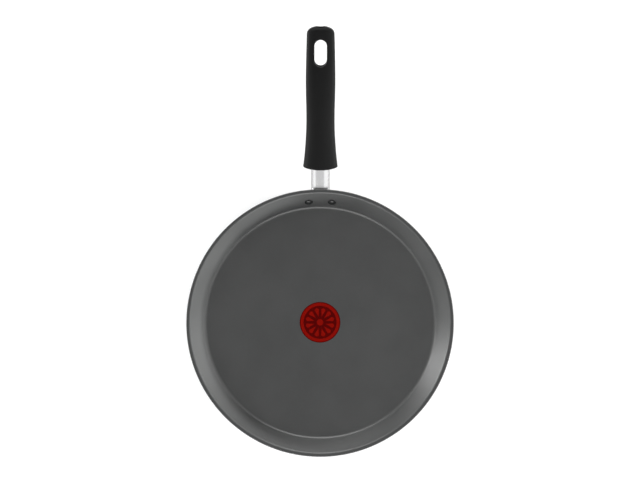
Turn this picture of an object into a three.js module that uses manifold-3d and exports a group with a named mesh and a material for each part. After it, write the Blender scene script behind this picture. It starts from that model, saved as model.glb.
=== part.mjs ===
// Nonstick crepe pan: a pressed pan with a riveted bracket, a metal neck and a moulded grip screwed on.
// Millimetres, +Z up. The origin is the middle of the face the pan stands on; the handle points along +Y.

import * as THREE from "three";
import { LoftGeometry } from "three/addons/geometries/LoftGeometry.js";
import { mergeVertices } from "three/addons/utils/BufferGeometryUtils.js";
import Module from "manifold-3d";

// Pan
const RIM_RADIUS = 127; // outermost edge of the rim
const PAN_HEIGHT = 21.2; // standing face to top of the metal rim
const WALL_SLOPE = 53; // degrees from level
const SHEET = 3.4;
const FLOOR_FILLET = 4.6; // inside, between floor and wall
const RIM_INNER_ROUND = 2.2;
const RIM_OUTER_ROUND = 0.8;
const COATING = 0.1;
const INDICATOR_RADIUS = 19.45;

// Steel disc in the underside
const DISC_RADIUS = 85;
const DISC_THICKNESS = 0.6;
const DISC_PROUD = 0.2; // how far it stands below the pan body
const DISC_RINGS = 4;
const DISC_RING_PITCH = 18;
const DISC_HOLE_RADIUS = 2.5;
const DISC_FIRST_HOLES = 6; // in the innermost ring; each next ring has as many more

// Handle axis and bracket
const AXIS_HEIGHT = 9; // where the handle axis meets the outside of the wall
const AXIS_SLOPE = 13; // degrees above level
const FLANGE_WIDTH = 36;
const FLANGE_HEIGHT = 15; // along the wall
const FLANGE_CORNER = 6;
const FLANGE_THICKNESS = 1.8;
const STEM_IN_GRIP = 30;
const STEM_THREAD_DEPTH = 18;

// Rivets
const RIVET_HEIGHT = 10.6; // of the holes, on the inside of the wall
const RIVET_TUCK = 0.6; // how far the formed tails reach under the neck's oval
const RIVET_SHANK_RADIUS = 1.9;
const RIVET_HEAD_RADIUS = 3.75;
const RIVET_HEAD_HEIGHT = 1.6;
const RIVET_TAIL_RADIUS = 2.6;
const RIVET_TAIL_HEIGHT = 1.2;

// Flame guard, the metal neck
const GUARD_WIDTH = 18;
const GUARD_HEIGHT = 11;
const GUARD_SQUARENESS = 2.5; // 2 is an ellipse, more is squarer
const GUARD_WALL = 0.8;
const GUARD_IN_GRIP = 8;

// Grip, measured along the handle axis
const GRIP_START = 28.7; // from the wall to the middle of the front edge
const GRIP_LENGTH = 135.8;
const FLARE_AT = 22; // from the front
const WAIST_AT = 45;
const BELLY_AT = 84;
const SLOT_FORM_FROM_TIP = 25;
const FRONT_WIDTH = 33;
const FLARE_WIDTH = 28.9;
const WAIST_WIDTH = 26.8;
const BELLY_WIDTH = 27.9;
const SLOT_FORM_WIDTH = 27;
const TIP_WIDTH = 25.7;
const FRONT_HEIGHT = 20.5;
const FLARE_HEIGHT = 18.4;
const WAIST_HEIGHT = 16.8;
const BELLY_HEIGHT = 16.6;
const SLOT_FORM_HEIGHT = 15;
const TIP_HEIGHT = 14;
const FRONT_DROP = 0.9; // the front section hangs lower, as a finger stop
const FRONT_SQUARENESS = 2.2;
const TIP_SQUARENESS = 3.4;
const GRIP_BOW = 1.2; // rise of the middle over the axis
const FRONT_BOW = 1.9; // how far the front edge curves back at its corners
const FRONT_BLEND = 14;
const FRONT_EDGE = 1.2;
const TIP_LENGTH = 7.2; // of the rounded end
const TIP_ROUNDNESS = 2.2;
const SLOT_WIDTH = 11.6;
const SLOT_LENGTH = 25.2;
const SLOT_EDGE = 1.2;

// Screw and washers
const SCREW_RADIUS = 2.5;
const SCREW_HEAD_RADIUS = 4.25;
const SCREW_HEAD_HEIGHT = 3.3;
const SCREW_DRIVE_WIDTH = 1.2;
const SCREW_DRIVE_DEPTH = 1.5;
const SCREW_IN_STEM = 12;
const SCREW_POINT = 0.7;
const COUNTERBORE_DEPTH = 9; // from the front end of the slot
const WASHER_RADIUS = 4.5;
const WASHER_THICKNESS = 1;
const SPRING_WASHER_THICKNESS = 1.2;
const SPRING_WASHER_SPLIT = 0.8;

// Clearances
const FIT = 0.3; // between seated curved pieces
const SEAT = 0.1; // between flat faces clamped together

// How finely the round forms are drawn
const PAN_SEGMENTS = 72;
const SMALL_SEGMENTS = 24;
const HOLE_SEGMENTS = 8;
const SECTION_POINTS = 36;
const SECTION_SPACING = 9; // along the grip
const ARC_STEPS = 3; // in a small rounding
const END_STEPS = 8; // in the rounded ends of the grip and its slot

const wasm = await Module();
wasm.setup();

const slope = THREE.MathUtils.degToRad(WALL_SLOPE);
const baseZ = DISC_PROUD;
const floorZ = baseZ + SHEET;
const wallOuterCorner = RIM_RADIUS + RIM_OUTER_ROUND * (1 / Math.tan(slope / 2) - 1);
const guard = { halfWidth: GUARD_WIDTH / 2, halfHeight: GUARD_HEIGHT / 2 };
const stemInset = GUARD_WALL + FIT;
const rivetX = guard.halfWidth + RIVET_TAIL_RADIUS - RIVET_TUCK;
const flangeInside = SHEET + FIT;
const flangeOutside = flangeInside + FLANGE_THICKNESS;
const gripEnd = GRIP_START + GRIP_LENGTH;
const slotMiddle = gripEnd - SLOT_FORM_FROM_TIP;
const counterboreFloor = slotMiddle - SLOT_LENGTH / 2 - COUNTERBORE_DEPTH;
const washerFace = counterboreFloor + SEAT;
const springFace = washerFace + WASHER_THICKNESS + SEAT;
const headFace = springFace + SPRING_WASHER_THICKNESS + SEAT;
const stemEnd = GRIP_START + STEM_IN_GRIP;
const counterboreRadius = WASHER_RADIUS + FIT;

const materials = {
  aluminium: new THREE.MeshStandardMaterial({ color: 0x3c3e3e, metalness: 0.6, roughness: 0.4 }),
  coating: new THREE.MeshStandardMaterial({ color: 0x4a4c4c, roughness: 0.45 }),
  indicator: new THREE.MeshStandardMaterial({ color: 0x8c0f16, roughness: 0.4 }),
  steel: new THREE.MeshStandardMaterial({ color: 0xb8babc, metalness: 1, roughness: 0.35 }),
  cast: new THREE.MeshStandardMaterial({ color: 0xa5a7aa, metalness: 1, roughness: 0.5 }),
  phenolic: new THREE.MeshStandardMaterial({ color: 0x19191a, roughness: 0.5 }),
};

// Solids that can be joined and cut

function solidOf(geometry) {
  const bare = new THREE.BufferGeometry();
  bare.setAttribute("position", geometry.getAttribute("position"));
  bare.setIndex(geometry.index);
  const merged = mergeVertices(bare);
  const corners = merged.index.array;
  const triangles = [];
  for (let i = 0; i < corners.length; i += 3) {
    const [a, b, c] = [corners[i], corners[i + 1], corners[i + 2]];
    if (a !== b && b !== c && c !== a) triangles.push(a, b, c);
  }
  return new wasm.Manifold(new wasm.Mesh({
    numProp: 3,
    vertProperties: Float32Array.from(merged.getAttribute("position").array),
    triVerts: Uint32Array.from(triangles),
  }));
}

function cut(solid, ...geometries) {
  return geometries.reduce((left, geometry) => left.subtract(solidOf(geometry)), solid);
}

function geometryOf(solid) {
  const mesh = solid.getMesh();
  const geometry = new THREE.BufferGeometry();
  geometry.setAttribute("position", new THREE.BufferAttribute(mesh.vertProperties, 3));
  geometry.setIndex(new THREE.BufferAttribute(mesh.triVerts, 1));
  geometry.computeVertexNormals();
  return geometry;
}

function piece(name, geometry, material) {
  const mesh = new THREE.Mesh(geometry, material);
  mesh.name = name;
  return mesh;
}

// Outlines

const point = (x, y) => new THREE.Vector2(x, y);

function arc(centre, radius, from, to) {
  return Array.from({ length: ARC_STEPS + 1 }, (_, i) => {
    const angle = from + ((to - from) * i) / ARC_STEPS;
    return point(centre.x + radius * Math.cos(angle), centre.y + radius * Math.sin(angle));
  });
}

function circle(radius, count, x = 0, y = 0) {
  return Array.from({ length: count }, (_, i) => {
    const angle = (2 * Math.PI * i) / count;
    return point(x + radius * Math.cos(angle), y + radius * Math.sin(angle));
  });
}

// Revolved about +Z; a profile runs out along the underside, up the outside and in along the top.
function revolve(profile, segments = PAN_SEGMENTS) {
  return new THREE.LatheGeometry(profile, segments).rotateX(Math.PI / 2);
}

// A cylinder along the handle axis, between two distances from the wall.
function bore(radius, from, to) {
  return new THREE.CylinderGeometry(radius, radius, to - from, SMALL_SEGMENTS).translate(0, (from + to) / 2, 0);
}

// One ring of a superellipse across the handle axis, ordered for a loft towards the tip.
function oval(halfWidth, top, bottom, squareness, y, lift = 0) {
  return Array.from({ length: SECTION_POINTS }, (_, i) => {
    const angle = (2 * Math.PI * i) / SECTION_POINTS;
    const across = Math.sign(Math.cos(angle)) * Math.abs(Math.cos(angle)) ** (2 / squareness);
    const up = Math.sign(Math.sin(angle)) * Math.abs(Math.sin(angle)) ** (2 / squareness);
    return new THREE.Vector3(-halfWidth * across, y, lift + (up > 0 ? top : bottom) * up);
  });
}

// A straight bar with the neck's oval, drawn in by an inset.
function neckBar(inset, from, to) {
  const ring = (y) => {
    const halfHeight = guard.halfHeight - inset;
    return oval(guard.halfWidth - inset, halfHeight, halfHeight, GUARD_SQUARENESS, y);
  };
  return new LoftGeometry([ring(from), ring(to)], { capStart: true, capEnd: true });
}

// Pan profile

// Inside of the wall, and points at a depth outwards through it.
function wallRadius(z) {
  return wallOuterCorner - SHEET / Math.sin(slope) - (PAN_HEIGHT - z) / Math.tan(slope);
}

function throughWall(z, depth) {
  return point(wallRadius(z) + depth * Math.sin(slope), z - depth * Math.cos(slope));
}

const filletCentre = point(wallRadius(floorZ) - FLOOR_FILLET * Math.tan(slope / 2), floorZ + FLOOR_FILLET);
const landStart = wallRadius(PAN_HEIGHT) + RIM_INNER_ROUND * Math.tan(slope / 2);
const landEnd = RIM_RADIUS - RIM_OUTER_ROUND;

// Floor edge to rim, at a height over the metal of the inside.
function insideSkin(height) {
  const roundCentre = point(landStart, PAN_HEIGHT - RIM_INNER_ROUND);
  const down = -Math.PI / 2;
  return [
    ...arc(filletCentre, FLOOR_FILLET - height, down, down + slope),
    ...arc(roundCentre, RIM_INNER_ROUND + height, Math.PI / 2 + slope, Math.PI / 2),
    point(landEnd, PAN_HEIGHT + height),
  ];
}

function panProfile() {
  const recess = DISC_RADIUS + FIT;
  const down = -Math.PI / 2;
  const rim = arc(point(landEnd, PAN_HEIGHT - RIM_OUTER_ROUND), RIM_OUTER_ROUND, down + slope, Math.PI / 2);
  return [
    point(0, DISC_THICKNESS),
    point(recess, DISC_THICKNESS),
    point(recess, baseZ),
    ...arc(filletCentre, FLOOR_FILLET + SHEET, down, down + slope),
    ...rim.slice(0, -1),
    ...insideSkin(0).reverse(),
    point(0, floorZ),
  ];
}

function coatingProfile() {
  const hole = INDICATOR_RADIUS + SEAT;
  const start = point(hole, floorZ);
  return [start, ...insideSkin(0), ...insideSkin(COATING).reverse(), point(hole, floorZ + COATING), start];
}

// Everything inside a cone that lies at a depth through the wall; used to trim pieces to the wall.
function wallCone(depth) {
  const high = throughWall(4 * PAN_HEIGHT, depth);
  const apex = point(0, high.y - high.x * Math.tan(slope));
  return revolve([apex, high, point(0, high.y)]);
}

// Frames

const handle = new THREE.Group();
handle.name = "handle";
handle.position.set(0, throughWall(AXIS_HEIGHT + SHEET * Math.cos(slope), SHEET).x, AXIS_HEIGHT);
handle.rotation.x = THREE.MathUtils.degToRad(AXIS_SLOPE);
handle.updateMatrix();
const intoHandle = handle.matrix.clone().invert();

// Stands on the inside of the wall, local +Z square to it and into the pan.
function wallFrame(x) {
  const turn = Math.asin(x / wallRadius(RIVET_HEIGHT));
  const frame = new THREE.Object3D();
  frame.rotation.set(slope, 0, 0);
  frame.position.set(0, wallRadius(RIVET_HEIGHT), RIVET_HEIGHT);
  frame.updateMatrix();
  return new THREE.Matrix4().makeRotationZ(-turn).multiply(frame.matrix);
}

function rivetHole(x) {
  const reach = 4 * flangeOutside;
  const hole = new THREE.CylinderGeometry(
    RIVET_SHANK_RADIUS + FIT, RIVET_SHANK_RADIUS + FIT, reach, SMALL_SEGMENTS);
  return hole.rotateX(Math.PI / 2).applyMatrix4(wallFrame(x));
}

const rivetHoles = () => [rivetHole(-rivetX), rivetHole(rivetX)];

// Pan pieces

function panBody() {
  return geometryOf(cut(solidOf(revolve(panProfile())), ...rivetHoles()));
}

function nonstickCoating() {
  return geometryOf(cut(solidOf(revolve(coatingProfile())), ...rivetHoles()));
}

function heatIndicator() {
  const top = floorZ + COATING;
  return revolve([point(0, floorZ), point(INDICATOR_RADIUS, floorZ), point(INDICATOR_RADIUS, top), point(0, top)]);
}

function inductionDisc() {
  const outline = new THREE.Shape(circle(DISC_RADIUS, PAN_SEGMENTS));
  for (let ring = 1; ring <= DISC_RINGS; ring++) {
    for (const spot of circle(ring * DISC_RING_PITCH, ring * DISC_FIRST_HOLES)) {
      outline.holes.push(new THREE.Path(circle(DISC_HOLE_RADIUS, HOLE_SEGMENTS, spot.x, spot.y)));
    }
  }
  return new THREE.ExtrudeGeometry(outline, { depth: DISC_THICKNESS, bevelEnabled: false });
}

// Bracket, rivets and neck

function flangeOutline() {
  const outline = new THREE.Shape();
  const x = FLANGE_WIDTH / 2 - FLANGE_CORNER;
  const y = FLANGE_HEIGHT / 2 - FLANGE_CORNER;
  const quarter = Math.PI / 2;
  outline.absarc(x, y, FLANGE_CORNER, 0, quarter);
  outline.absarc(-x, y, FLANGE_CORNER, quarter, 2 * quarter);
  outline.absarc(-x, -y, FLANGE_CORNER, 2 * quarter, 3 * quarter);
  outline.absarc(x, -y, FLANGE_CORNER, 3 * quarter, 4 * quarter);
  return outline;
}

function handleBracket() {
  const low = -PAN_HEIGHT;
  const high = 2 * PAN_HEIGHT;
  const inner = [throughWall(low, flangeInside), throughWall(high, flangeInside)];
  const outer = [throughWall(low, flangeOutside), throughWall(high, flangeOutside)];
  const shell = solidOf(revolve([inner[0], outer[0], outer[1], inner[1], inner[0]]));
  const depth = 4 * flangeOutside;
  const alongWall = (AXIS_HEIGHT + SHEET * Math.cos(slope) - RIVET_HEIGHT) / Math.sin(slope);
  const plate = new THREE.ExtrudeGeometry(flangeOutline(), { depth, bevelEnabled: false, curveSegments: 3 });
  plate.translate(0, alongWall, -depth / 2 - flangeInside).applyMatrix4(wallFrame(0));
  const stem = neckBar(stemInset, -GUARD_WIDTH, stemEnd).applyMatrix4(handle.matrix);
  const thread = bore(SCREW_RADIUS + FIT, stemEnd - STEM_THREAD_DEPTH, stemEnd + FIT).applyMatrix4(handle.matrix);
  const trimmedStem = cut(solidOf(stem), wallCone(flangeInside));
  const flange = shell.intersect(solidOf(plate));
  return geometryOf(cut(flange.add(trimmedStem), thread, ...rivetHoles()));
}

// A dome from its edge to its top, standing up (1) or hanging down (-1) from its base.
function dome(radius, height, base, side) {
  const sphere = (radius ** 2 + height ** 2) / (2 * height);
  const edge = Math.asin(radius / sphere);
  const centre = point(0, base - side * (sphere - height));
  return arc(centre, sphere, side * (Math.PI / 2 - edge), side * (Math.PI / 2));
}

function rivet(x) {
  const head = COATING + FIT;
  const tail = -flangeOutside - FIT;
  const profile = [
    ...dome(RIVET_TAIL_RADIUS, RIVET_TAIL_HEIGHT, tail, -1).reverse(),
    point(RIVET_SHANK_RADIUS, tail),
    point(RIVET_SHANK_RADIUS, head),
    ...dome(RIVET_HEAD_RADIUS, RIVET_HEAD_HEIGHT, head, 1),
  ];
  return revolve(profile, SMALL_SEGMENTS).applyMatrix4(wallFrame(x));
}

function tailRelief(x) {
  const length = RIVET_TAIL_HEIGHT + 3 * FIT;
  const radius = RIVET_TAIL_RADIUS + FIT;
  const relief = new THREE.CylinderGeometry(radius, radius, length, SMALL_SEGMENTS).rotateX(Math.PI / 2);
  return relief.translate(0, 0, -flangeOutside - length / 2).applyMatrix4(wallFrame(x)).applyMatrix4(intoHandle);
}

function flameGuard() {
  const end = GRIP_START + GUARD_IN_GRIP;
  const sleeve = solidOf(neckBar(0, -GUARD_WIDTH, end));
  const inside = neckBar(GUARD_WALL, -2 * GUARD_WIDTH, end + GUARD_WIDTH);
  const cone = wallCone(flangeOutside + FIT).applyMatrix4(intoHandle);
  return geometryOf(cut(sleeve, inside, cone, tailRelief(-rivetX), tailRelief(rivetX)));
}

// Grip

const gripForm = (() => {
  const slotAt = GRIP_LENGTH - SLOT_FORM_FROM_TIP;
  const middle = (FRONT_SQUARENESS + TIP_SQUARENESS) / 2;
  const stations = [
    [0, FRONT_WIDTH, FRONT_HEIGHT, -FRONT_DROP, FRONT_SQUARENESS],
    [FLARE_AT, FLARE_WIDTH, FLARE_HEIGHT, -FRONT_DROP / 2, FRONT_SQUARENESS],
    [WAIST_AT, WAIST_WIDTH, WAIST_HEIGHT, 0, FRONT_SQUARENESS],
    [BELLY_AT, BELLY_WIDTH, BELLY_HEIGHT, 0, middle],
    [slotAt, SLOT_FORM_WIDTH, SLOT_FORM_HEIGHT, 0, TIP_SQUARENESS],
    [GRIP_LENGTH, TIP_WIDTH, TIP_HEIGHT, 0, TIP_SQUARENESS],
  ];
  const values = stations.flatMap((station) => station.slice(1));
  const curve = new THREE.CubicInterpolant(stations.map((station) => station[0]), values, 4);
  return (s) => {
    const [width, height, drop, squareness] = curve.evaluate(s);
    const lift = drop + GRIP_BOW * Math.sin((Math.PI * s) / GRIP_LENGTH);
    return { halfWidth: width / 2, halfHeight: height / 2, squareness, lift };
  };
})();

// A section of the grip at a distance from its front, drawn in by an inset and scaled for the rounded end.
function gripRing(s, { inset = 0, wide = 1, tall = 1 } = {}) {
  const form = gripForm(s);
  const height = (form.halfHeight - inset) * tall;
  const ring = oval((form.halfWidth - inset) * wide, height, height, form.squareness, GRIP_START + s, form.lift);
  const blend = Math.max(0, 1 - s / FRONT_BLEND) ** 2;
  for (const corner of ring) corner.y += blend * FRONT_BOW * (corner.x / form.halfWidth) ** 2;
  return ring;
}

function gripRings() {
  const rings = [gripRing(0, { wide: 0.3, tall: 0.3 })];
  for (let i = 0; i <= ARC_STEPS; i++) {
    const angle = (Math.PI / 2) * (i / ARC_STEPS);
    rings.push(gripRing(FRONT_EDGE * (1 - Math.cos(angle)), { inset: FRONT_EDGE * (1 - Math.sin(angle)) }));
  }
  const straight = GRIP_LENGTH - TIP_LENGTH;
  const steps = Math.round(straight / SECTION_SPACING);
  for (let i = 1; i <= steps; i++) rings.push(gripRing(FRONT_EDGE + ((straight - FRONT_EDGE) * i) / steps));
  for (let i = 1; i < END_STEPS; i++) {
    const along = Math.sin((Math.PI / 2) * (i / (END_STEPS - 0.5)));
    const wide = (1 - along ** TIP_ROUNDNESS) ** (1 / TIP_ROUNDNESS);
    const tall = (1 - along ** (2 * TIP_ROUNDNESS)) ** (1 / TIP_ROUNDNESS);
    rings.push(gripRing(straight + TIP_LENGTH * along, { wide, tall }));
  }
  return rings;
}

// Height of the grip's skin over the axis, on its upper (+1) or lower (-1) side.
function gripSkin(x, y, side) {
  const form = gripForm(y - GRIP_START);
  const across = Math.min(1, Math.abs(x) / form.halfWidth);
  const rise = (1 - across ** form.squareness) ** (1 / form.squareness);
  return form.lift + side * form.halfHeight * rise;
}

// Hanging slot with a rounded mouth on both sides, following the skin.
function slotCutter() {
  const stadium = (grow) => {
    const radius = SLOT_WIDTH / 2 + grow;
    const half = SLOT_LENGTH / 2 - SLOT_WIDTH / 2;
    return Array.from({ length: 2 * (END_STEPS + 1) }, (_, i) => {
      const far = i <= END_STEPS;
      const angle = (Math.PI * (far ? i : i - 1)) / END_STEPS;
      return point(radius * Math.cos(angle), slotMiddle + (far ? half : -half) + radius * Math.sin(angle));
    });
  };
  const ring = (grow, depth, side) =>
    stadium(grow).map(({ x, y }) => new THREE.Vector3(x, y, gripSkin(x, y, side) - side * depth));
  const mouth = (side) => {
    const rings = [ring(SLOT_EDGE, -SLOT_EDGE, side)];
    for (let i = 0; i <= ARC_STEPS; i++) {
      const angle = (Math.PI / 2) * (i / ARC_STEPS);
      rings.push(ring(SLOT_EDGE * (1 - Math.sin(angle)), SLOT_EDGE * (1 - Math.cos(angle)), side));
    }
    return rings;
  };
  return new LoftGeometry([...mouth(-1), ...mouth(1).reverse()], { capStart: true, capEnd: true });
}

function handleGrip() {
  const block = solidOf(new LoftGeometry(gripRings(), { capStart: true, capEnd: true }));
  const front = GRIP_START - FRONT_BLEND;
  return geometryOf(cut(
    block,
    neckBar(-FIT, front, GRIP_START + GUARD_IN_GRIP + FIT),
    neckBar(stemInset - FIT, front, stemEnd + FIT),
    bore(SCREW_RADIUS + FIT, GRIP_START, slotMiddle),
    bore(counterboreRadius, counterboreFloor, gripEnd + FIT),
    slotCutter(),
  ));
}

// Screw and washers, along the handle axis

function handleScrew() {
  const tip = stemEnd - SCREW_IN_STEM;
  const top = headFace + SCREW_HEAD_HEIGHT;
  const screw = solidOf(new THREE.LatheGeometry([
    point(0, tip),
    point(SCREW_RADIUS - SCREW_POINT, tip),
    point(SCREW_RADIUS, tip + SCREW_POINT),
    point(SCREW_RADIUS, headFace),
    point(SCREW_HEAD_RADIUS, headFace),
    point(SCREW_HEAD_RADIUS, top),
    point(0, top),
  ], SMALL_SEGMENTS));
  const drive = new THREE.BoxGeometry(3 * SCREW_HEAD_RADIUS, 2 * SCREW_DRIVE_DEPTH, SCREW_DRIVE_WIDTH);
  return geometryOf(cut(screw, drive.translate(0, top, 0)));
}

function washer(face, thickness) {
  const inner = SCREW_RADIUS + FIT;
  const start = point(inner, face);
  return new THREE.LatheGeometry([
    start,
    point(WASHER_RADIUS, face),
    point(WASHER_RADIUS, face + thickness),
    point(inner, face + thickness),
    start,
  ], SMALL_SEGMENTS);
}

function springWasher() {
  const split = new THREE.BoxGeometry(SPRING_WASHER_SPLIT, 4 * SPRING_WASHER_THICKNESS, WASHER_RADIUS);
  split.rotateZ(Math.PI / 6).translate(0, springFace + SPRING_WASHER_THICKNESS / 2, WASHER_RADIUS / 2 + FIT);
  return geometryOf(cut(solidOf(washer(springFace, SPRING_WASHER_THICKNESS)), split));
}

// The pan

const pan = new THREE.Group();
pan.name = "crepe_pan";
pan.add(
  piece("pan_body", panBody(), materials.aluminium),
  piece("nonstick_coating", nonstickCoating(), materials.coating),
  piece("heat_indicator", heatIndicator(), materials.indicator),
  piece("induction_disc", inductionDisc(), materials.steel),
  piece("handle_bracket", handleBracket(), materials.cast),
  piece("rivet_left", rivet(-rivetX), materials.cast),
  piece("rivet_right", rivet(rivetX), materials.cast),
  handle,
);
handle.add(
  piece("flame_guard", flameGuard(), materials.steel),
  piece("handle_grip", handleGrip(), materials.phenolic),
  piece("handle_screw", handleScrew(), materials.steel),
  piece("flat_washer", washer(washerFace, WASHER_THICKNESS), materials.steel),
  piece("spring_washer", springWasher(), materials.steel),
);

export default pan;
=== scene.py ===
"""Looks of the crepe pan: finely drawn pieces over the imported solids, their finishes, and the studio."""

import math

import bmesh
import bpy
from mathutils import Matrix, Vector


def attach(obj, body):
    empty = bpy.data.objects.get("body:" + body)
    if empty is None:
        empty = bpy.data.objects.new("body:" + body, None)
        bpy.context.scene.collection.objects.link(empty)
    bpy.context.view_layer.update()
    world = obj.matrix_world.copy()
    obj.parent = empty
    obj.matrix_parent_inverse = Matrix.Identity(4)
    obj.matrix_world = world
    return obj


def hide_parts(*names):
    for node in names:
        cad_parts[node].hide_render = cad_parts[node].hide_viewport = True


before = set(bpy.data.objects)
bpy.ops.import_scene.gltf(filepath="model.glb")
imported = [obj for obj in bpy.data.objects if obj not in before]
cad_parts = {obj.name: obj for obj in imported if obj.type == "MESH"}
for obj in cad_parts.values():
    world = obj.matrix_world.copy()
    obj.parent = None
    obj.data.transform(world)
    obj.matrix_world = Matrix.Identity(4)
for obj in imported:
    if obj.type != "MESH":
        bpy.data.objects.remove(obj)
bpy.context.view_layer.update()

# Pan, in millimetres and degrees as all sizes of the part
RIM_RADIUS = 127
PAN_HEIGHT = 21.2
WALL_SLOPE = math.radians(53)
SHEET = 3.4
FLOOR_FILLET = 4.6
RIM_INNER_ROUND = 2.2
RIM_OUTER_ROUND = 0.8
COATING = 0.1

# Heat indicator, its print and how soft the print's edges are
INDICATOR_RADIUS = 19.45
BAND_RADIUS = 17.2
BAND_HALF_WIDTH = 1.4
DROPS = 12
DROP_START = 5
DROP_WIDEST = 12.5
DROP_END = 14
DROP_FULLNESS = 0.72
DOT_RADIUS = 3.05
PRINT_EDGE = 0.1
DOT_EDGE = 0.15

# Steel disc and bare metal of the underside
DISC_RADIUS = 85
DISC_THICKNESS = 0.6
DISC_EDGE = 0.08
DISC_PROUD = 0.2
DISC_RINGS = 4
DISC_RING_PITCH = 18
DISC_HOLE_RADIUS = 2.5
DISC_FIRST_HOLES = 6
BARE_RADIUS = 105
BARE_EDGE = 0.2

# Handle axis, bracket and rivets
AXIS_HEIGHT = 9
AXIS_SLOPE = math.radians(13)
FLANGE_THICKNESS = 1.8
BRACKET_EDGE = 0.25
RIVET_HEIGHT = 10.6
RIVET_X = 11
RIVET_SHANK_RADIUS = 1.9
RIVET_HEAD_RADIUS = 3.75
RIVET_HEAD_HEIGHT = 1.6
RIVET_TAIL_RADIUS = 2.6
RIVET_TAIL_HEIGHT = 1.2

# Neck
GUARD_WIDTH = 18
GUARD_HEIGHT = 11
GUARD_SQUARENESS = 2.5
GUARD_WALL = 0.8
GUARD_IN_GRIP = 8

# Grip, screw and washers
GRIP_START = 28.7
GRIP_LENGTH = 135.8
GRIP_BOW = 1.2
FRONT_BOW = 1.9
FRONT_BLEND = 14
FRONT_EDGE = 1.2
FRONT_CAP = 0.3
TIP_LENGTH = 7.2
TIP_ROUNDNESS = 2.2
SLOT_FROM_TIP = 25
SLOT_WIDTH = 11.6
SLOT_LENGTH = 25.2
SLOT_EDGE = 1.2
COUNTERBORE_RADIUS = 4.8
COUNTERBORE_DEPTH = 9
SCREW_EDGE = 0.15
WASHER_EDGE = 0.1

# Distance from the front, width, height, drop and squareness of the grip's sections
GRIP_SECTIONS = [
    (0, 33, 20.5, -0.9, 2.2),
    (22, 28.9, 18.4, -0.45, 2.2),
    (45, 26.8, 16.8, 0, 2.2),
    (84, 27.9, 16.6, 0, 2.8),
    (GRIP_LENGTH - SLOT_FROM_TIP, 27, 15, 0, 3.4),
    (GRIP_LENGTH, 25.7, 14, 0, 3.4),
]

# Clearances
FIT = 0.3
SEAT = 0.1

# Scale of the scene, fineness of the round forms, and the angles of flats and corners
MM = 0.001
PAN_SEGMENTS = 240
RIVET_SEGMENTS = 64
NOTCH_SEGMENTS = 32
DISC_SEGMENTS = 180
HOLE_SEGMENTS = 24
OVAL_POINTS = 96
ARC_STEPS = 12
EDGE_STEPS = 8
SLOT_END_STEPS = 24
GRIP_STEPS = 90
TIP_STEPS = 24
HALVINGS = 40
FLAT_ANGLE = math.radians(2)
CORNER_ANGLE = math.radians(35)

# Camera, its place in metres
CAMERA_PLACE = (-0.0002, 0.07364, 1.708)
CAMERA_TURN = math.radians(0.13)
CAMERA_LENS = 100
CAMERA_SENSOR = 36

# Room: brightness where 1 is white, floor in metres, and the radii in millimetres where it fades to white
ROOM_LIGHT = 0.4
FLOOR_LIFT = 0.55
FLOOR_HALF_WIDTH = 1.0
FLOOR_FADE_START = 250
FLOOR_FADE_END = 600

# Lamps: azimuth, lower and upper edge in degrees, width in metres, brightness, and rays that miss the lamp
LAMP_DISTANCE = 1.2
LAMP_AIM = (0, 0.03, 0)
LAMPS = {
    "right_box": (78, 3.4, 6.2, 1.0, 365, "glossy"),
    "right_strip": (106, 3.2, 8, 0.6, 30),
    "left_strip": (-106, 3.2, 8, 0.35, 140),
    "left_fill": (-106, 3.2, 30, 0.7, 9, "glossy"),
    "corner_box": (-45, 3.5, 7, 0.6, 95, "glossy"),
    "right_panel": (90, 14, 70, 1.2, 1.05),
    "left_panel": (-62, 24, 56, 1.2, 1.05),
    "front_card": (0, 34, 52, 1.0, 11, "diffuse"),
    "back_card": (180, 14, 44, 1.0, 10, "diffuse"),
}

# Places that several pieces share, and the turns of a profile's arcs
FLOOR_Z = DISC_PROUD + SHEET
FLANGE_OUTSIDE = SHEET + FIT + FLANGE_THICKNESS
GUARD_END = GRIP_START + GUARD_IN_GRIP
GRIP_END = GRIP_START + GRIP_LENGTH
SLOT_MIDDLE = GRIP_END - SLOT_FROM_TIP
DOWN = -math.pi / 2
UP = math.pi / 2


# Meshes

def stand(name, data):
    """Puts a mesh, a curve, a lamp or a camera in the scene."""
    thing = bpy.data.objects.new(name, data)
    bpy.context.scene.collection.objects.link(thing)
    return thing


def bare_piece(name, points, faces):
    """A mesh of millimetre points, put in the scene."""
    mesh = bpy.data.meshes.new(name)
    mesh.from_pydata([Vector(p) * MM for p in points], [], faces)
    return stand(name, mesh)


def dress(piece, node, finish, smooth=40):
    """Tidies a piece's mesh, gives it its finish and lets it stand for a solid of the part."""
    tidy(piece.data)
    piece.data.shade_smooth()
    piece.data.set_sharp_from_angle(angle=math.radians(smooth))
    piece.data.materials.clear()
    piece.data.materials.append(finish)
    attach(piece, "root")
    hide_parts(node)


def tidy(mesh):
    """Merges a mesh's doubled points and turns its faces outwards."""
    bm = bmesh.new()
    bm.from_mesh(mesh)
    bmesh.ops.remove_doubles(bm, verts=bm.verts, dist=2e-7)
    bmesh.ops.recalc_face_normals(bm, faces=bm.faces)
    bm.to_mesh(mesh)
    bm.free()


def meshed(thing):
    """The mesh of a curve, or of a piece with its modifiers."""
    return bpy.data.meshes.new_from_object(thing.evaluated_get(bpy.context.evaluated_depsgraph_get()))


def cut(piece, points, faces):
    """Takes a closed shape out of a piece."""
    cutter = bare_piece("cutter", points, faces)
    for solid in (piece, cutter):
        tidy(solid.data)
    taking = piece.modifiers.new("cut", "BOOLEAN")
    taking.object = cutter
    taking.operation = "DIFFERENCE"
    taking.solver = "EXACT"
    piece.data = meshed(piece)
    piece.modifiers.clear()
    bpy.data.objects.remove(cutter)


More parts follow.
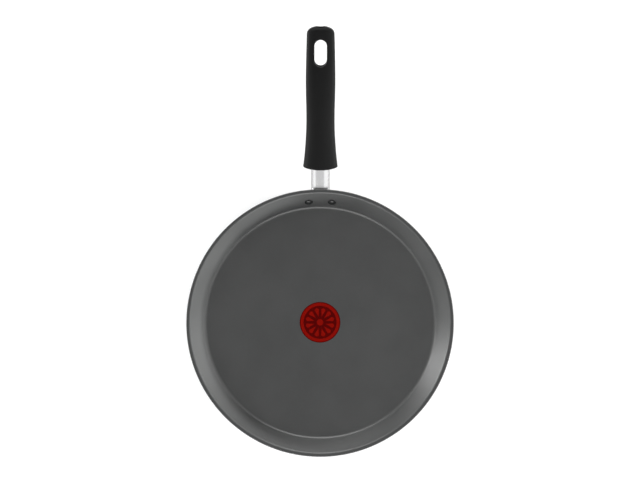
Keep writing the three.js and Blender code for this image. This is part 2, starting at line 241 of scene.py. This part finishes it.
def arc(centre, radius, start, end, steps=ARC_STEPS):
    """Points of an arc in a profile."""
    turns = [start + (end - start) * i / steps for i in range(steps + 1)]
    return [(centre[0] + radius * math.cos(t), centre[1] + radius * math.sin(t)) for t in turns]


def circle(centre, radius, count):
    """Points of a full circle, each once."""
    return arc(centre, radius, 0, 2 * math.pi, count)[:-1]


def grid_faces(rows, columns, wrap_rows=True):
    """Quads over rows of points, closed across the columns."""
    faces = []
    for i in range(rows if wrap_rows else rows - 1):
        for j in range(columns):
            a = i * columns + j
            b = i * columns + (j + 1) % columns
            shift = ((i + 1) % rows - i) * columns
            faces.append((a, a + shift, b + shift, b))
    return faces


def revolved(profile, segments=PAN_SEGMENTS):
    """Points and faces of a closed profile turned about +Z."""
    points = []
    for i in range(segments):
        turn = 2 * math.pi * i / segments
        points += [(r * math.cos(turn), r * math.sin(turn), z) for r, z in profile]
    return points, grid_faces(segments, len(profile))


def lofted(rings, closed=False):
    """Points and faces of a skin over rings of points, capped at both ends unless it closes on itself."""
    count = len(rings[0])
    points = [p for ring in rings for p in ring]
    faces = grid_faces(len(rings), count, wrap_rows=closed)
    if not closed:
        faces.append(tuple(range(count)))
        faces.append(tuple(range((len(rings) - 1) * count, len(rings) * count)))
    return points, faces


# Forms shared by the pieces

def wall_radius(z):
    """Inside of the pan's wall."""
    corner = RIM_RADIUS + RIM_OUTER_ROUND * (1 / math.tan(WALL_SLOPE / 2) - 1)
    return corner - SHEET / math.sin(WALL_SLOPE) - (PAN_HEIGHT - z) / math.tan(WALL_SLOPE)


FILLET_CENTRE = (wall_radius(FLOOR_Z) - FLOOR_FILLET * math.tan(WALL_SLOPE / 2), FLOOR_Z + FLOOR_FILLET)
LAND_START = wall_radius(PAN_HEIGHT) + RIM_INNER_ROUND * math.tan(WALL_SLOPE / 2)
LAND_END = RIM_RADIUS - RIM_OUTER_ROUND
AXIS_START = wall_radius(AXIS_HEIGHT) + SHEET / math.sin(WALL_SLOPE)
HANDLE = Matrix.Translation((0, AXIS_START, AXIS_HEIGHT)) @ Matrix.Rotation(AXIS_SLOPE, 4, "X")


def inside_skin(height):
    """Profile from the edge of the floor to the rim, at a height over the metal."""
    fillet = arc(FILLET_CENTRE, FLOOR_FILLET - height, DOWN, DOWN + WALL_SLOPE)
    rim_centre = (LAND_START, PAN_HEIGHT - RIM_INNER_ROUND)
    rim = arc(rim_centre, RIM_INNER_ROUND + height, UP + WALL_SLOPE, UP)
    return fillet + rim + [(LAND_END, PAN_HEIGHT + height)]


def on_handle(points):
    """Points along the handle axis, moved to their place on the pan."""
    return [HANDLE @ Vector(p) for p in points]


def on_wall(x, points):
    """Points drawn on the inside of the wall at a rivet, +Z square to it and into the pan."""
    turn = math.asin(x / wall_radius(RIVET_HEIGHT))
    foot = Matrix.Translation((0, wall_radius(RIVET_HEIGHT), RIVET_HEIGHT))
    place = Matrix.Rotation(-turn, 4, "Z") @ (foot @ Matrix.Rotation(WALL_SLOPE, 4, "X"))
    return [place @ Vector(p) for p in points]


def oval(half_width, half_height, squareness, y, lift=0):
    """A ring across the handle axis: an ellipse at squareness 2, boxier above."""
    ring = []
    for i in range(OVAL_POINTS):
        turn = 2 * math.pi * i / OVAL_POINTS
        across = math.copysign(abs(math.cos(turn)) ** (2 / squareness), math.cos(turn))
        up = math.copysign(abs(math.sin(turn)) ** (2 / squareness), math.sin(turn))
        ring.append((half_width * across, y, lift + half_height * up))
    return ring


def neck_oval(inset, y):
    """A ring of the neck's sleeve, at a depth under its outside."""
    return oval(GUARD_WIDTH / 2 - inset, GUARD_HEIGHT / 2 - inset, GUARD_SQUARENESS, y)


def neck_front(inset):
    """The neck's oval where it meets the bracket on the flared wall, found by halving."""
    ring = []
    depth = FLANGE_OUTSIDE + FIT
    for x, _, z in neck_oval(inset, 0):
        low, high = -GUARD_WIDTH, GUARD_WIDTH
        for _ in range(HALVINGS):
            y = (low + high) / 2
            spot = HANDLE @ Vector((x, y, z))
            level = spot.z + depth * math.cos(WALL_SLOPE)
            reach = wall_radius(level) + depth * math.sin(WALL_SLOPE)
            if math.hypot(spot.x, spot.y) > reach:
                high = y
            else:
                low = y
        ring.append((x, y, z))
    return ring


def grip_form(s):
    """Half width, half height, lift and squareness of the grip at a distance from its front."""
    knots = [row[0] for row in GRIP_SECTIONS]
    span = max(i for i in range(len(knots) - 1) if s >= knots[i] or i == 0)
    run = knots[span + 1] - knots[span]
    t = (s - knots[span]) / run

    def slope(knot, column):
        """Slope of a smooth curve through the sections, straight at both ends."""
        below, above = max(knot - 1, 0), min(knot + 1, len(knots) - 1)
        rise = GRIP_SECTIONS[above][column] - GRIP_SECTIONS[below][column]
        return rise / (knots[above] - knots[below])

    values = []
    for column in range(1, 5):
        a, b = GRIP_SECTIONS[span][column], GRIP_SECTIONS[span + 1][column]
        curve = (2 * t**3 - 3 * t**2 + 1) * a + (3 * t**2 - 2 * t**3) * b
        bend = (t**3 - 2 * t**2 + t) * slope(span, column) + (t**3 - t**2) * slope(span + 1, column)
        values.append(curve + bend * run)
    width, height, drop, squareness = values
    lift = drop + GRIP_BOW * math.sin(math.pi * s / GRIP_LENGTH)
    return width / 2, height / 2, lift, squareness


def grip_ring(s, inset=0, wide=1, tall=1):
    """A section of the grip, its front edge bowed back at the corners."""
    half_width, half_height, lift, squareness = grip_form(s)
    ring = oval((half_width - inset) * wide, (half_height - inset) * tall, squareness, GRIP_START + s, lift)
    blend = max(0, 1 - s / FRONT_BLEND) ** 2
    return [(x, y + blend * FRONT_BOW * (x / half_width) ** 2, z) for x, y, z in ring]


def grip_skin(x, y, side):
    """Height of the grip's skin over the axis, on its upper (1) or lower (-1) side."""
    half_width, half_height, lift, squareness = grip_form(y - GRIP_START)
    across = min(1, abs(x) / half_width)
    return lift + side * half_height * (1 - across**squareness) ** (1 / squareness)


# Finishes

class Field:
    """A value that varies over a surface; sums and products of fields add their Math nodes."""

    def __init__(self, nodes, socket):
        self.nodes = nodes
        self.socket = socket

    def beside(self, output):
        """The field of another output of the same node."""
        return Field(self.nodes, self.socket.node.outputs[output])

    def maths(self, operation, *values):
        return self.nodes.node("ShaderNodeMath", {"operation": operation}, dict(enumerate(values)))

    def __add__(self, other):
        return self.maths("ADD", self, other)

    def __sub__(self, other):
        return self.maths("SUBTRACT", self, other)

    def __rsub__(self, other):
        return self.maths("SUBTRACT", other, self)

    def __mul__(self, other):
        return self.maths("MULTIPLY", self, other)

    def __pow__(self, other):
        return self.maths("POWER", self, other)

    def __abs__(self):
        return self.maths("ABSOLUTE", self)

    def sine(self):
        return self.maths("SINE", self)

    def most(self, other):
        return self.maths("MAXIMUM", self, other)

    __radd__ = __add__
    __rmul__ = __mul__


class Nodes:
    """The nodes of a material or of the room, fed by fields."""

    def __init__(self, owner, shader, **constants):
        owner.use_nodes = True
        self.tree = owner.node_tree
        self.shader = self.tree.nodes[shader]
        for socket, value in constants.items():
            self.shader.inputs[socket.replace("_", " ")].default_value = value

    def node(self, kind, settings=None, sockets=None, output=0):
        """Adds a node, sets it up, feeds its sockets and gives the field of one of its outputs."""
        node = self.tree.nodes.new(kind)
        for name, value in (settings or {}).items():
            setattr(node, name, value)
        for name, value in (sockets or {}).items():
            self.feed(node.inputs[name], value)
        return Field(self, node.outputs[output])

    def feed(self, socket, value):
        """Links a field to a socket, or sets the socket to a plain value."""
        if isinstance(value, Field):
            self.tree.links.new(value.socket, socket)
        else:
            socket.default_value = value

    def varies(self, socket, value):
        """Feeds a socket of the shader."""
        self.feed(self.shader.inputs[socket], value)

    def step(self, value, start, end, low=0, high=1):
        """Goes smoothly from low to high as the value goes from start to end."""
        return self.node("ShaderNodeMapRange", {"interpolation_type": "SMOOTHSTEP"}, {
            "Value": value, "From Min": start, "From Max": end, "To Min": low, "To Max": high})

    def mix(self, amount, low, high):
        """Goes from one colour to another."""
        low, high = [c if isinstance(c, Field) else (*c, 1) for c in (low, high)]
        return self.node("ShaderNodeMix", {"data_type": "RGBA"}, {0: amount, 6: low, 7: high}, output=2)

    def looked_at(self):
        """1 where the camera looks or a gloss or a clear piece shows what is there, 0 where it lights."""
        camera = self.node("ShaderNodeLightPath", output="Is Camera Ray")
        return camera.most(camera.beside("Is Glossy Ray")).most(camera.beside("Is Transmission Ray"))


class Finish(Nodes):
    """A material with one principled shader, and where its points are in millimetres of the part's frame."""

    def __init__(self, name, **constants):
        self.material = bpy.data.materials.new(name)
        super().__init__(self.material, "Principled BSDF", **constants)
        spot = self.node("ShaderNodeTexCoord", output="Object")
        self.place = self.node("ShaderNodeVectorMath", {"operation": "SCALE"}, {0: spot, "Scale": 1 / MM})

    def sides(self):
        """How far a point is along X, Y and Z."""
        x = self.node("ShaderNodeSeparateXYZ", sockets={0: self.place})
        return x, x.beside("Y"), x.beside("Z")

    def radius(self):
        """How far a point is from the pan's axis."""
        x, y, _ = self.sides()
        return (x * x + y * y) ** 0.5

    def noise(self, scale, detail=2, roughness=0.5, place=None):
        """Cloudy noise over the piece, or over another place for each point."""
        return self.node("ShaderNodeTexNoise", sockets={
            "Vector": place or self.place, "Scale": scale, "Detail": detail, "Roughness": roughness})

    def streaks(self, x, y, z, scale, detail, roughness=0.5):
        """Noise over fields that take the place of X, Y and Z, for rings or long lines."""
        place = self.node("ShaderNodeCombineXYZ", sockets={0: x, 1: y, 2: z})
        return self.noise(scale, detail, roughness, place)

    def bump(self, height, depth):
        """Relief of a height field whose 0 to 1 stands for a depth in millimetres."""
        self.varies("Normal", self.node("ShaderNodeBump", sockets={
            "Strength": 1.0, "Distance": depth * MM, "Height": height}))


def sprayed_skin(finish):
    """Grain of a sprayed nonstick skin: its relief, cloudiness and mineral flecks."""
    grain = finish.noise(1.7, detail=3, roughness=0.6)
    clouds = finish.noise(0.025, detail=3)
    flecks = finish.step(finish.noise(2.6, detail=1), 0.66, 0.74)
    finish.bump(grain, depth=0.006)
    return grain, clouds, flecks


def coating_finish():
    """Grey satin skin with faint rings, and painted shade that darkens it over the rim."""
    finish = Finish("nonstick_coating", IOR=1.4)
    grain, clouds, flecks = sprayed_skin(finish)
    radius = finish.radius()
    rings = finish.streaks(radius, 0, 0, scale=0.35, detail=4)
    grey = finish.mix(finish.step(clouds, 0.3, 0.7), (0.0405, 0.0415, 0.0411), (0.0465, 0.0475, 0.0471))
    flecked = finish.mix(flecks * 0.35, grey, (0.1, 0.102, 0.101))
    # painted shade: the base colour is darkened over the rim's land, in place of shade the lamps do not give
    # there
    rim = finish.step(radius, LAND_START - 0.8, LAND_START + 0.2)
    finish.varies("Base Color", finish.mix(rim, flecked, (0.024, 0.025, 0.025)))
    finish.varies("Roughness", 0.3 + clouds * 0.06 + rings * 0.05 + grain * 0.03)
    return finish.material


def indicator_finish():
    """A printed red disc: a paler band round a ring of drop shapes, and a dot in the middle."""
    finish = Finish("heat_indicator", IOR=1.4, Specular_IOR_Level=0.03)
    grain, clouds, flecks = sprayed_skin(finish)
    x, y, _ = finish.sides()
    radius = finish.radius()
    angle = finish.node("ShaderNodeMath", {"operation": "ARCTAN2"}, {0: y, 1: x})

    def within(value, edge, soft):
        return finish.step(value, edge + soft, edge - soft)

    band = within(abs(radius - BAND_RADIUS), BAND_HALF_WIDTH, PRINT_EDGE)
    widening = finish.step(radius, DROP_START, DROP_WIDEST - PRINT_EDGE)
    closing = finish.step(radius, DROP_END, DROP_WIDEST + PRINT_EDGE)
    waves = (angle * (DROPS / 2)).sine() ** 2
    drops = finish.step(waves - 1 + widening * closing * DROP_FULLNESS, -0.02, 0.06)
    pale = band.most(drops).most(within(radius, DOT_RADIUS, DOT_EDGE))
    red = finish.mix(finish.step(clouds, 0.3, 0.7), (0.09, 0.0005, 0.0004), (0.098, 0.0007, 0.0005))
    printed = finish.mix(pale, red, (0.25, 0.004, 0.0014))
    finish.varies("Base Color", finish.mix(flecks * 0.15, printed, (0.2, 0.06, 0.06)))
    finish.varies("Roughness", 0.32 + grain * 0.05)
    return finish.material


def lacquer_finish():
    """Dark baked lacquer outside, turned bare metal on the flat of the underside."""
    finish = Finish("outer_lacquer", IOR=1.45)
    _, _, z = finish.sides()
    radius = finish.radius()
    grain = finish.noise(1.3, detail=3, roughness=0.6)
    turning = finish.streaks(radius, 0, 0, scale=2.2, detail=3, roughness=0.7)
    flat = finish.step(z, 1.2, 0.9)
    bare = finish.step(radius, BARE_RADIUS + BARE_EDGE, BARE_RADIUS - BARE_EDGE) * flat
    lacquer = finish.mix(grain, (0.013, 0.0132, 0.0132), (0.019, 0.0192, 0.0192))
    metal = finish.mix(turning, (0.42, 0.425, 0.43), (0.56, 0.56, 0.565))
    finish.varies("Base Color", finish.mix(bare, lacquer, metal))
    finish.varies("Metallic", bare)
    finish.varies("Roughness", 0.34 + grain * 0.08 + bare * (turning * 0.2 - 0.1))
    finish.bump(grain * (1 - bare) * 0.6 + turning * bare, depth=0.01)
    return finish.material


def turned_steel_finish():
    """Stamped steel with fine circular marks."""
    finish = Finish("base_steel", Metallic=1.0)
    marks = finish.streaks(finish.radius(), 0, 0, scale=3.5, detail=4, roughness=0.7)
    stains = finish.noise(0.04, detail=4)
    finish.varies("Base Color", finish.mix(stains, (0.47, 0.47, 0.475), (0.58, 0.58, 0.58)))
    finish.varies("Roughness", 0.26 + marks * 0.16 + stains * 0.08)
    finish.bump(marks, depth=0.006)
    return finish.material


def polished_neck_finish():
    """Polished sheet steel with faint lines along the sleeve."""
    finish = Finish("neck_steel", Metallic=1.0)
    x, y, z = finish.sides()
    lines = finish.streaks(x * 4, y * 0.12, z * 4, scale=1, detail=3, roughness=0.65)
    smears = finish.noise(0.12, detail=3)
    finish.varies("Base Color", finish.mix(smears, (0.45, 0.45, 0.455), (0.49, 0.49, 0.49)))
    finish.varies("Roughness", 0.2 + lines * 0.06 + smears * 0.04)
    finish.bump(lines, depth=0.002)
    return finish.material


def cast_finish():
    """Tumbled cast aluminium."""
    finish = Finish("cast_metal", Metallic=1.0)
    pits = finish.noise(1.4, detail=4, roughness=0.65)
    finish.varies("Base Color", finish.mix(pits, (0.4, 0.4, 0.41), (0.52, 0.52, 0.525)))
    finish.varies("Roughness", 0.36 + pits * 0.2)
    finish.bump(pits, depth=0.03)
    return finish.material


def rivet_finish():
    """Dark rivets, smoother than the wall and with a small sharp gloss."""
    finish = Finish("rivets", IOR=1.5, Specular_IOR_Level=0.2)
    grain, clouds, _ = sprayed_skin(finish)
    finish.varies("Base Color", finish.mix(clouds, (0.006, 0.0065, 0.0065), (0.009, 0.0095, 0.0095)))
    finish.varies("Roughness", 0.14 + grain * 0.06)
    return finish.material


def grip_finish():
    """Black phenolic moulding with a fine skin and faint scuffs."""
    finish = Finish("grip", IOR=1.5, Specular_IOR_Level=0.05)
    skin = finish.noise(2.4, detail=3, roughness=0.6)
    flow = finish.noise(0.05, detail=3)
    scuffs = finish.step(finish.noise(0.5, detail=5, roughness=0.7), 0.6, 0.78)
    black = finish.mix(flow, (0.0048, 0.0049, 0.0049), (0.0056, 0.0057, 0.0057))
    finish.varies("Base Color", finish.mix(scuffs * 0.25, black, (0.02, 0.02, 0.02)))
    finish.varies("Roughness", 0.42 + flow * 0.08 + scuffs * 0.06 + skin * 0.03)
    finish.bump(skin, depth=0.012)
    return finish.material


def plated_finish():
    """Zinc-plated steel of the screw and its washers."""
    finish = Finish("fasteners", Metallic=1.0)
    bloom = finish.noise(0.6, detail=4)
    finish.varies("Base Color", finish.mix(bloom, (0.46, 0.47, 0.49), (0.56, 0.56, 0.55)))
    finish.varies("Roughness", 0.24 + bloom * 0.16)
    finish.bump(bloom, depth=0.004)
    return finish.material


# Pan pieces

def pan_body():
    """The pressed sheet, with a recess for the disc in its underside."""
    recess = DISC_RADIUS + FIT
    rim = arc((LAND_END, PAN_HEIGHT - RIM_OUTER_ROUND), RIM_OUTER_ROUND, DOWN + WALL_SLOPE, UP)
    outside = arc(FILLET_CENTRE, FLOOR_FILLET + SHEET, DOWN, DOWN + WALL_SLOPE)
    profile = [(0, DISC_THICKNESS), (recess, DISC_THICKNESS), (recess, DISC_PROUD)] + outside + rim
    profile += inside_skin(0)[::-1] + [(0, FLOOR_Z)]
    body = bare_piece("pan_body_fine", *revolved(profile))
    dress(body, "pan_body", lacquer_finish())


def nonstick_coating():
    """A thin skin over the inside and the rim, open in the middle for the indicator."""
    hole = INDICATOR_RADIUS + SEAT
    profile = [(hole, FLOOR_Z)] + inside_skin(0)
    profile += inside_skin(COATING)[::-1] + [(hole, FLOOR_Z + COATING)]
    coating = bare_piece("coating_fine", *revolved(profile))
    dress(coating, "nonstick_coating", coating_finish())


def heat_indicator():
    """A round spot as thick as the coating."""
    top = FLOOR_Z + COATING
    profile = [(0, FLOOR_Z), (INDICATOR_RADIUS, FLOOR_Z), (INDICATOR_RADIUS, top), (0, top)]
    indicator = bare_piece("indicator_fine", *revolved(profile))
    dress(indicator, "heat_indicator", indicator_finish())


def induction_disc():
    """A perforated plate with softened edges, filled between its circles."""
    outline = bpy.data.curves.new("disc_outline", "CURVE")
    outline.dimensions = "2D"
    outline.fill_mode = "BOTH"
    outline.extrude = (DISC_THICKNESS / 2 - DISC_EDGE) * MM
    outline.bevel_depth = DISC_EDGE * MM
    outline.bevel_resolution = 2
    outline.offset = -DISC_EDGE * MM
    circles = [circle((0, 0), DISC_RADIUS, DISC_SEGMENTS)]
    for ring in range(1, DISC_RINGS + 1):
        for spot in circle((0, 0), ring * DISC_RING_PITCH, ring * DISC_FIRST_HOLES):
            circles.append(circle(spot, DISC_HOLE_RADIUS, HOLE_SEGMENTS))
    for points in circles:
        spline = outline.splines.new("POLY")
        spline.points.add(len(points) - 1)
        spline.use_cyclic_u = True
        for corner, (x, y) in zip(spline.points, points):
            corner.co = (x * MM, y * MM, 0, 1)
    plate = stand("disc_plate", outline)
    mesh = meshed(plate)
    mesh.transform(Matrix.Translation((0, 0, DISC_THICKNESS / 2 * MM)))
    bpy.data.objects.remove(plate)
    dress(stand("disc_fine", mesh), "induction_disc", turned_steel_finish())


def rivets():
    """Two rivets with domed heads inside the pan and smaller domed tails outside."""
    finish = rivet_finish()
    head = COATING + FIT
    tail = -FLANGE_OUTSIDE - FIT

    def dome(radius, height, base, side):
        sphere = (radius**2 + height**2) / (2 * height)
        edge = math.asin(radius / sphere)
        return arc((0, base - side * (sphere - height)), sphere, side * (UP - edge), side * UP)

    profile = dome(RIVET_TAIL_RADIUS, RIVET_TAIL_HEIGHT, tail, -1)[::-1]
    profile += [(RIVET_SHANK_RADIUS, tail), (RIVET_SHANK_RADIUS, head)]
    profile += dome(RIVET_HEAD_RADIUS, RIVET_HEAD_HEIGHT, head, 1)
    points, faces = revolved(profile, RIVET_SEGMENTS)
    for side, x in (("left", -RIVET_X), ("right", RIVET_X)):
        rivet = bare_piece(f"rivet_{side}_fine", on_wall(x, points), faces)
        dress(rivet, f"rivet_{side}", finish)


# Handle pieces

def flame_guard():
    """The metal neck, notched at its front where the rivets' tails stand."""
    front = [neck_front(GUARD_WALL), neck_front(0)]
    back = [neck_oval(0, GUARD_END), neck_oval(GUARD_WALL, GUARD_END)]
    points, faces = lofted(front + back, closed=True)
    neck = bare_piece("neck_fine", on_handle(points), faces)
    high = -FLANGE_OUTSIDE
    low = high - RIVET_TAIL_HEIGHT - 3 * FIT
    notch_radius = RIVET_TAIL_RADIUS + FIT
    notch = [(0, high), (notch_radius, high), (notch_radius, low), (0, low)]
    points, faces = revolved(notch, NOTCH_SEGMENTS)
    for x in (-RIVET_X, RIVET_X):
        cut(neck, on_wall(x, points), faces)
    dress(neck, "flame_guard", polished_neck_finish(), smooth=30)


def hanging_slot():
    """The shape taken out for the slot, its mouths rounded along the skin."""
    half = (SLOT_LENGTH - SLOT_WIDTH) / 2

    def stadium(grow):
        radius = SLOT_WIDTH / 2 + grow
        far = arc((0, SLOT_MIDDLE + half), radius, 0, math.pi, SLOT_END_STEPS)
        near = arc((0, SLOT_MIDDLE - half), radius, math.pi, 2 * math.pi, SLOT_END_STEPS)
        return far + near

    def ring(grow, depth, side):
        return [(x, y, grip_skin(x, y, side) - side * depth) for x, y in stadium(grow)]

    def mouth(side):
        rings = [ring(SLOT_EDGE, -SLOT_EDGE, side)]
        for across, down in arc((0, 0), SLOT_EDGE, UP, 0, EDGE_STEPS):
            rings.append(ring(SLOT_EDGE - across, SLOT_EDGE - down, side))
        return rings

    return lofted(mouth(-1) + mouth(1)[::-1])


def grip_rings():
    """Sections of the grip from its rolled front edge to its rounded tip, just short of a point."""
    rings = [grip_ring(0, wide=FRONT_CAP, tall=FRONT_CAP)]
    for along, across in arc((FRONT_EDGE, 0), FRONT_EDGE, math.pi, UP, EDGE_STEPS):
        rings.append(grip_ring(along, inset=FRONT_EDGE - across))
    straight = GRIP_LENGTH - TIP_LENGTH
    for i in range(1, GRIP_STEPS + 1):
        rings.append(grip_ring(FRONT_EDGE + (straight - FRONT_EDGE) * i / GRIP_STEPS))
    for i in range(1, TIP_STEPS):
        along = math.sin(UP * i / (TIP_STEPS - 0.5))
        wide = (1 - along**TIP_ROUNDNESS) ** (1 / TIP_ROUNDNESS)
        tall = (1 - along ** (2 * TIP_ROUNDNESS)) ** (1 / TIP_ROUNDNESS)
        rings.append(grip_ring(straight + TIP_LENGTH * along, wide=wide, tall=tall))
    return rings


def handle_grip():
    """The moulded grip with the socket for the neck, the bore for the screw and the hanging slot."""
    points, faces = lofted(grip_rings())
    grip = bare_piece("grip_fine", on_handle(points), faces)
    socket = lofted([neck_oval(-FIT, y) for y in (0, GUARD_END + FIT)])
    bore_ends = (SLOT_MIDDLE - SLOT_LENGTH / 2 - COUNTERBORE_DEPTH, GRIP_END + FIT)
    bore = lofted([oval(COUNTERBORE_RADIUS, COUNTERBORE_RADIUS, 2, y) for y in bore_ends])
    for points, faces in (socket, bore, hanging_slot()):
        cut(grip, on_handle(points), faces)
    dress(grip, "handle_grip", grip_finish(), smooth=32)


def eased_solid(node, finish, edge):
    """A solid of the part with its flats merged and its corners eased."""
    piece = stand(f"{node}_fine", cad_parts[node].data.copy())
    bm = bmesh.new()
    bm.from_mesh(piece.data)
    bmesh.ops.remove_doubles(bm, verts=bm.verts, dist=1e-6)
    bmesh.ops.dissolve_limit(bm, angle_limit=FLAT_ANGLE, verts=bm.verts, edges=bm.edges)
    corners = [e for e in bm.edges if len(e.link_faces) == 2 and e.calc_face_angle() > CORNER_ANGLE]
    bmesh.ops.bevel(bm, geom=corners, offset=edge * MM, segments=2, affect="EDGES", clamp_overlap=True)
    bm.to_mesh(piece.data)
    bm.free()
    dress(piece, node, finish)


def bracket_and_screw():
    """The cast bracket, and the plated screw with its washers."""
    eased_solid("handle_bracket", cast_finish(), BRACKET_EDGE)
    plated = plated_finish()
    eased_solid("handle_screw", plated, SCREW_EDGE)
    eased_solid("flat_washer", plated, WASHER_EDGE)
    eased_solid("spring_washer", plated, WASHER_EDGE)


# Studio

def lamp(name, azimuth, low, high, width, brightness, *unseen):
    """A rectangular lamp aimed at the pan, between two elevations, unseen by some kinds of rays."""
    light = bpy.data.lights.new(name, "AREA")
    light.shape = "RECTANGLE"
    light.size = width
    light.size_y = 2 * LAMP_DISTANCE * math.tan(math.radians(high - low) / 2)
    light.energy = brightness * math.pi * light.size * light.size_y
    lean = math.radians(90 - (low + high) / 2)
    turn = Matrix.Rotation(math.radians(azimuth), 4, "Z") @ Matrix.Rotation(lean, 4, "X")
    head = stand(name, light)
    head.matrix_world = Matrix.Translation(LAMP_AIM) @ turn @ Matrix.Translation((0, 0, LAMP_DISTANCE))
    for rays in ("camera", *unseen):
        setattr(head, f"visible_{rays}", False)


def white_room(scene):
    """A room that is white to look at and in gloss, and lights the pan softly."""
    scene.world = bpy.data.worlds.new("room")
    room = Nodes(scene.world, "Background", Strength=1.0)
    room.varies("Color", room.mix(room.looked_at(), [ROOM_LIGHT] * 3, (1, 1, 1)))


def pale_floor():
    """A matt floor, lifted to white for the camera and in gloss, that keeps the pan's shadow."""
    half = FLOOR_HALF_WIDTH
    corners = [(-half, -half, 0), (half, -half, 0), (half, half, 0), (-half, half, 0)]
    mesh = bpy.data.meshes.new("floor")
    mesh.from_pydata(corners, [], [(0, 1, 2, 3)])
    finish = Finish("pale_floor", Base_Color=(0.5, 0.5, 0.5, 1), Roughness=0.9, Specular_IOR_Level=0.0,
                    Emission_Strength=1.0)
    lift = finish.step(finish.radius(), FLOOR_FADE_START, FLOOR_FADE_END, low=FLOOR_LIFT)
    finish.varies("Emission Color", finish.mix(finish.looked_at() * lift, (0, 0, 0), (1, 1, 1)))
    mesh.materials.append(finish.material)
    stand("floor", mesh)


def overhead_camera(scene):
    """Looks straight down on the pan, as the photograph does."""
    lens = bpy.data.cameras.new("camera")
    lens.lens = CAMERA_LENS
    lens.sensor_width = CAMERA_SENSOR
    lens.sensor_fit = "HORIZONTAL"
    scene.camera = stand("camera", lens)
    scene.camera.location = CAMERA_PLACE
    scene.camera.rotation_euler.z = CAMERA_TURN


def studio():
    scene = bpy.context.scene
    scene.view_settings.view_transform = "Standard"
    overhead_camera(scene)
    white_room(scene)
    pale_floor()
    for name, setting in LAMPS.items():
        lamp(name, *setting)


pan_body()
nonstick_coating()
heat_indicator()
induction_disc()
rivets()
flame_guard()
handle_grip()
bracket_and_screw()
studio()
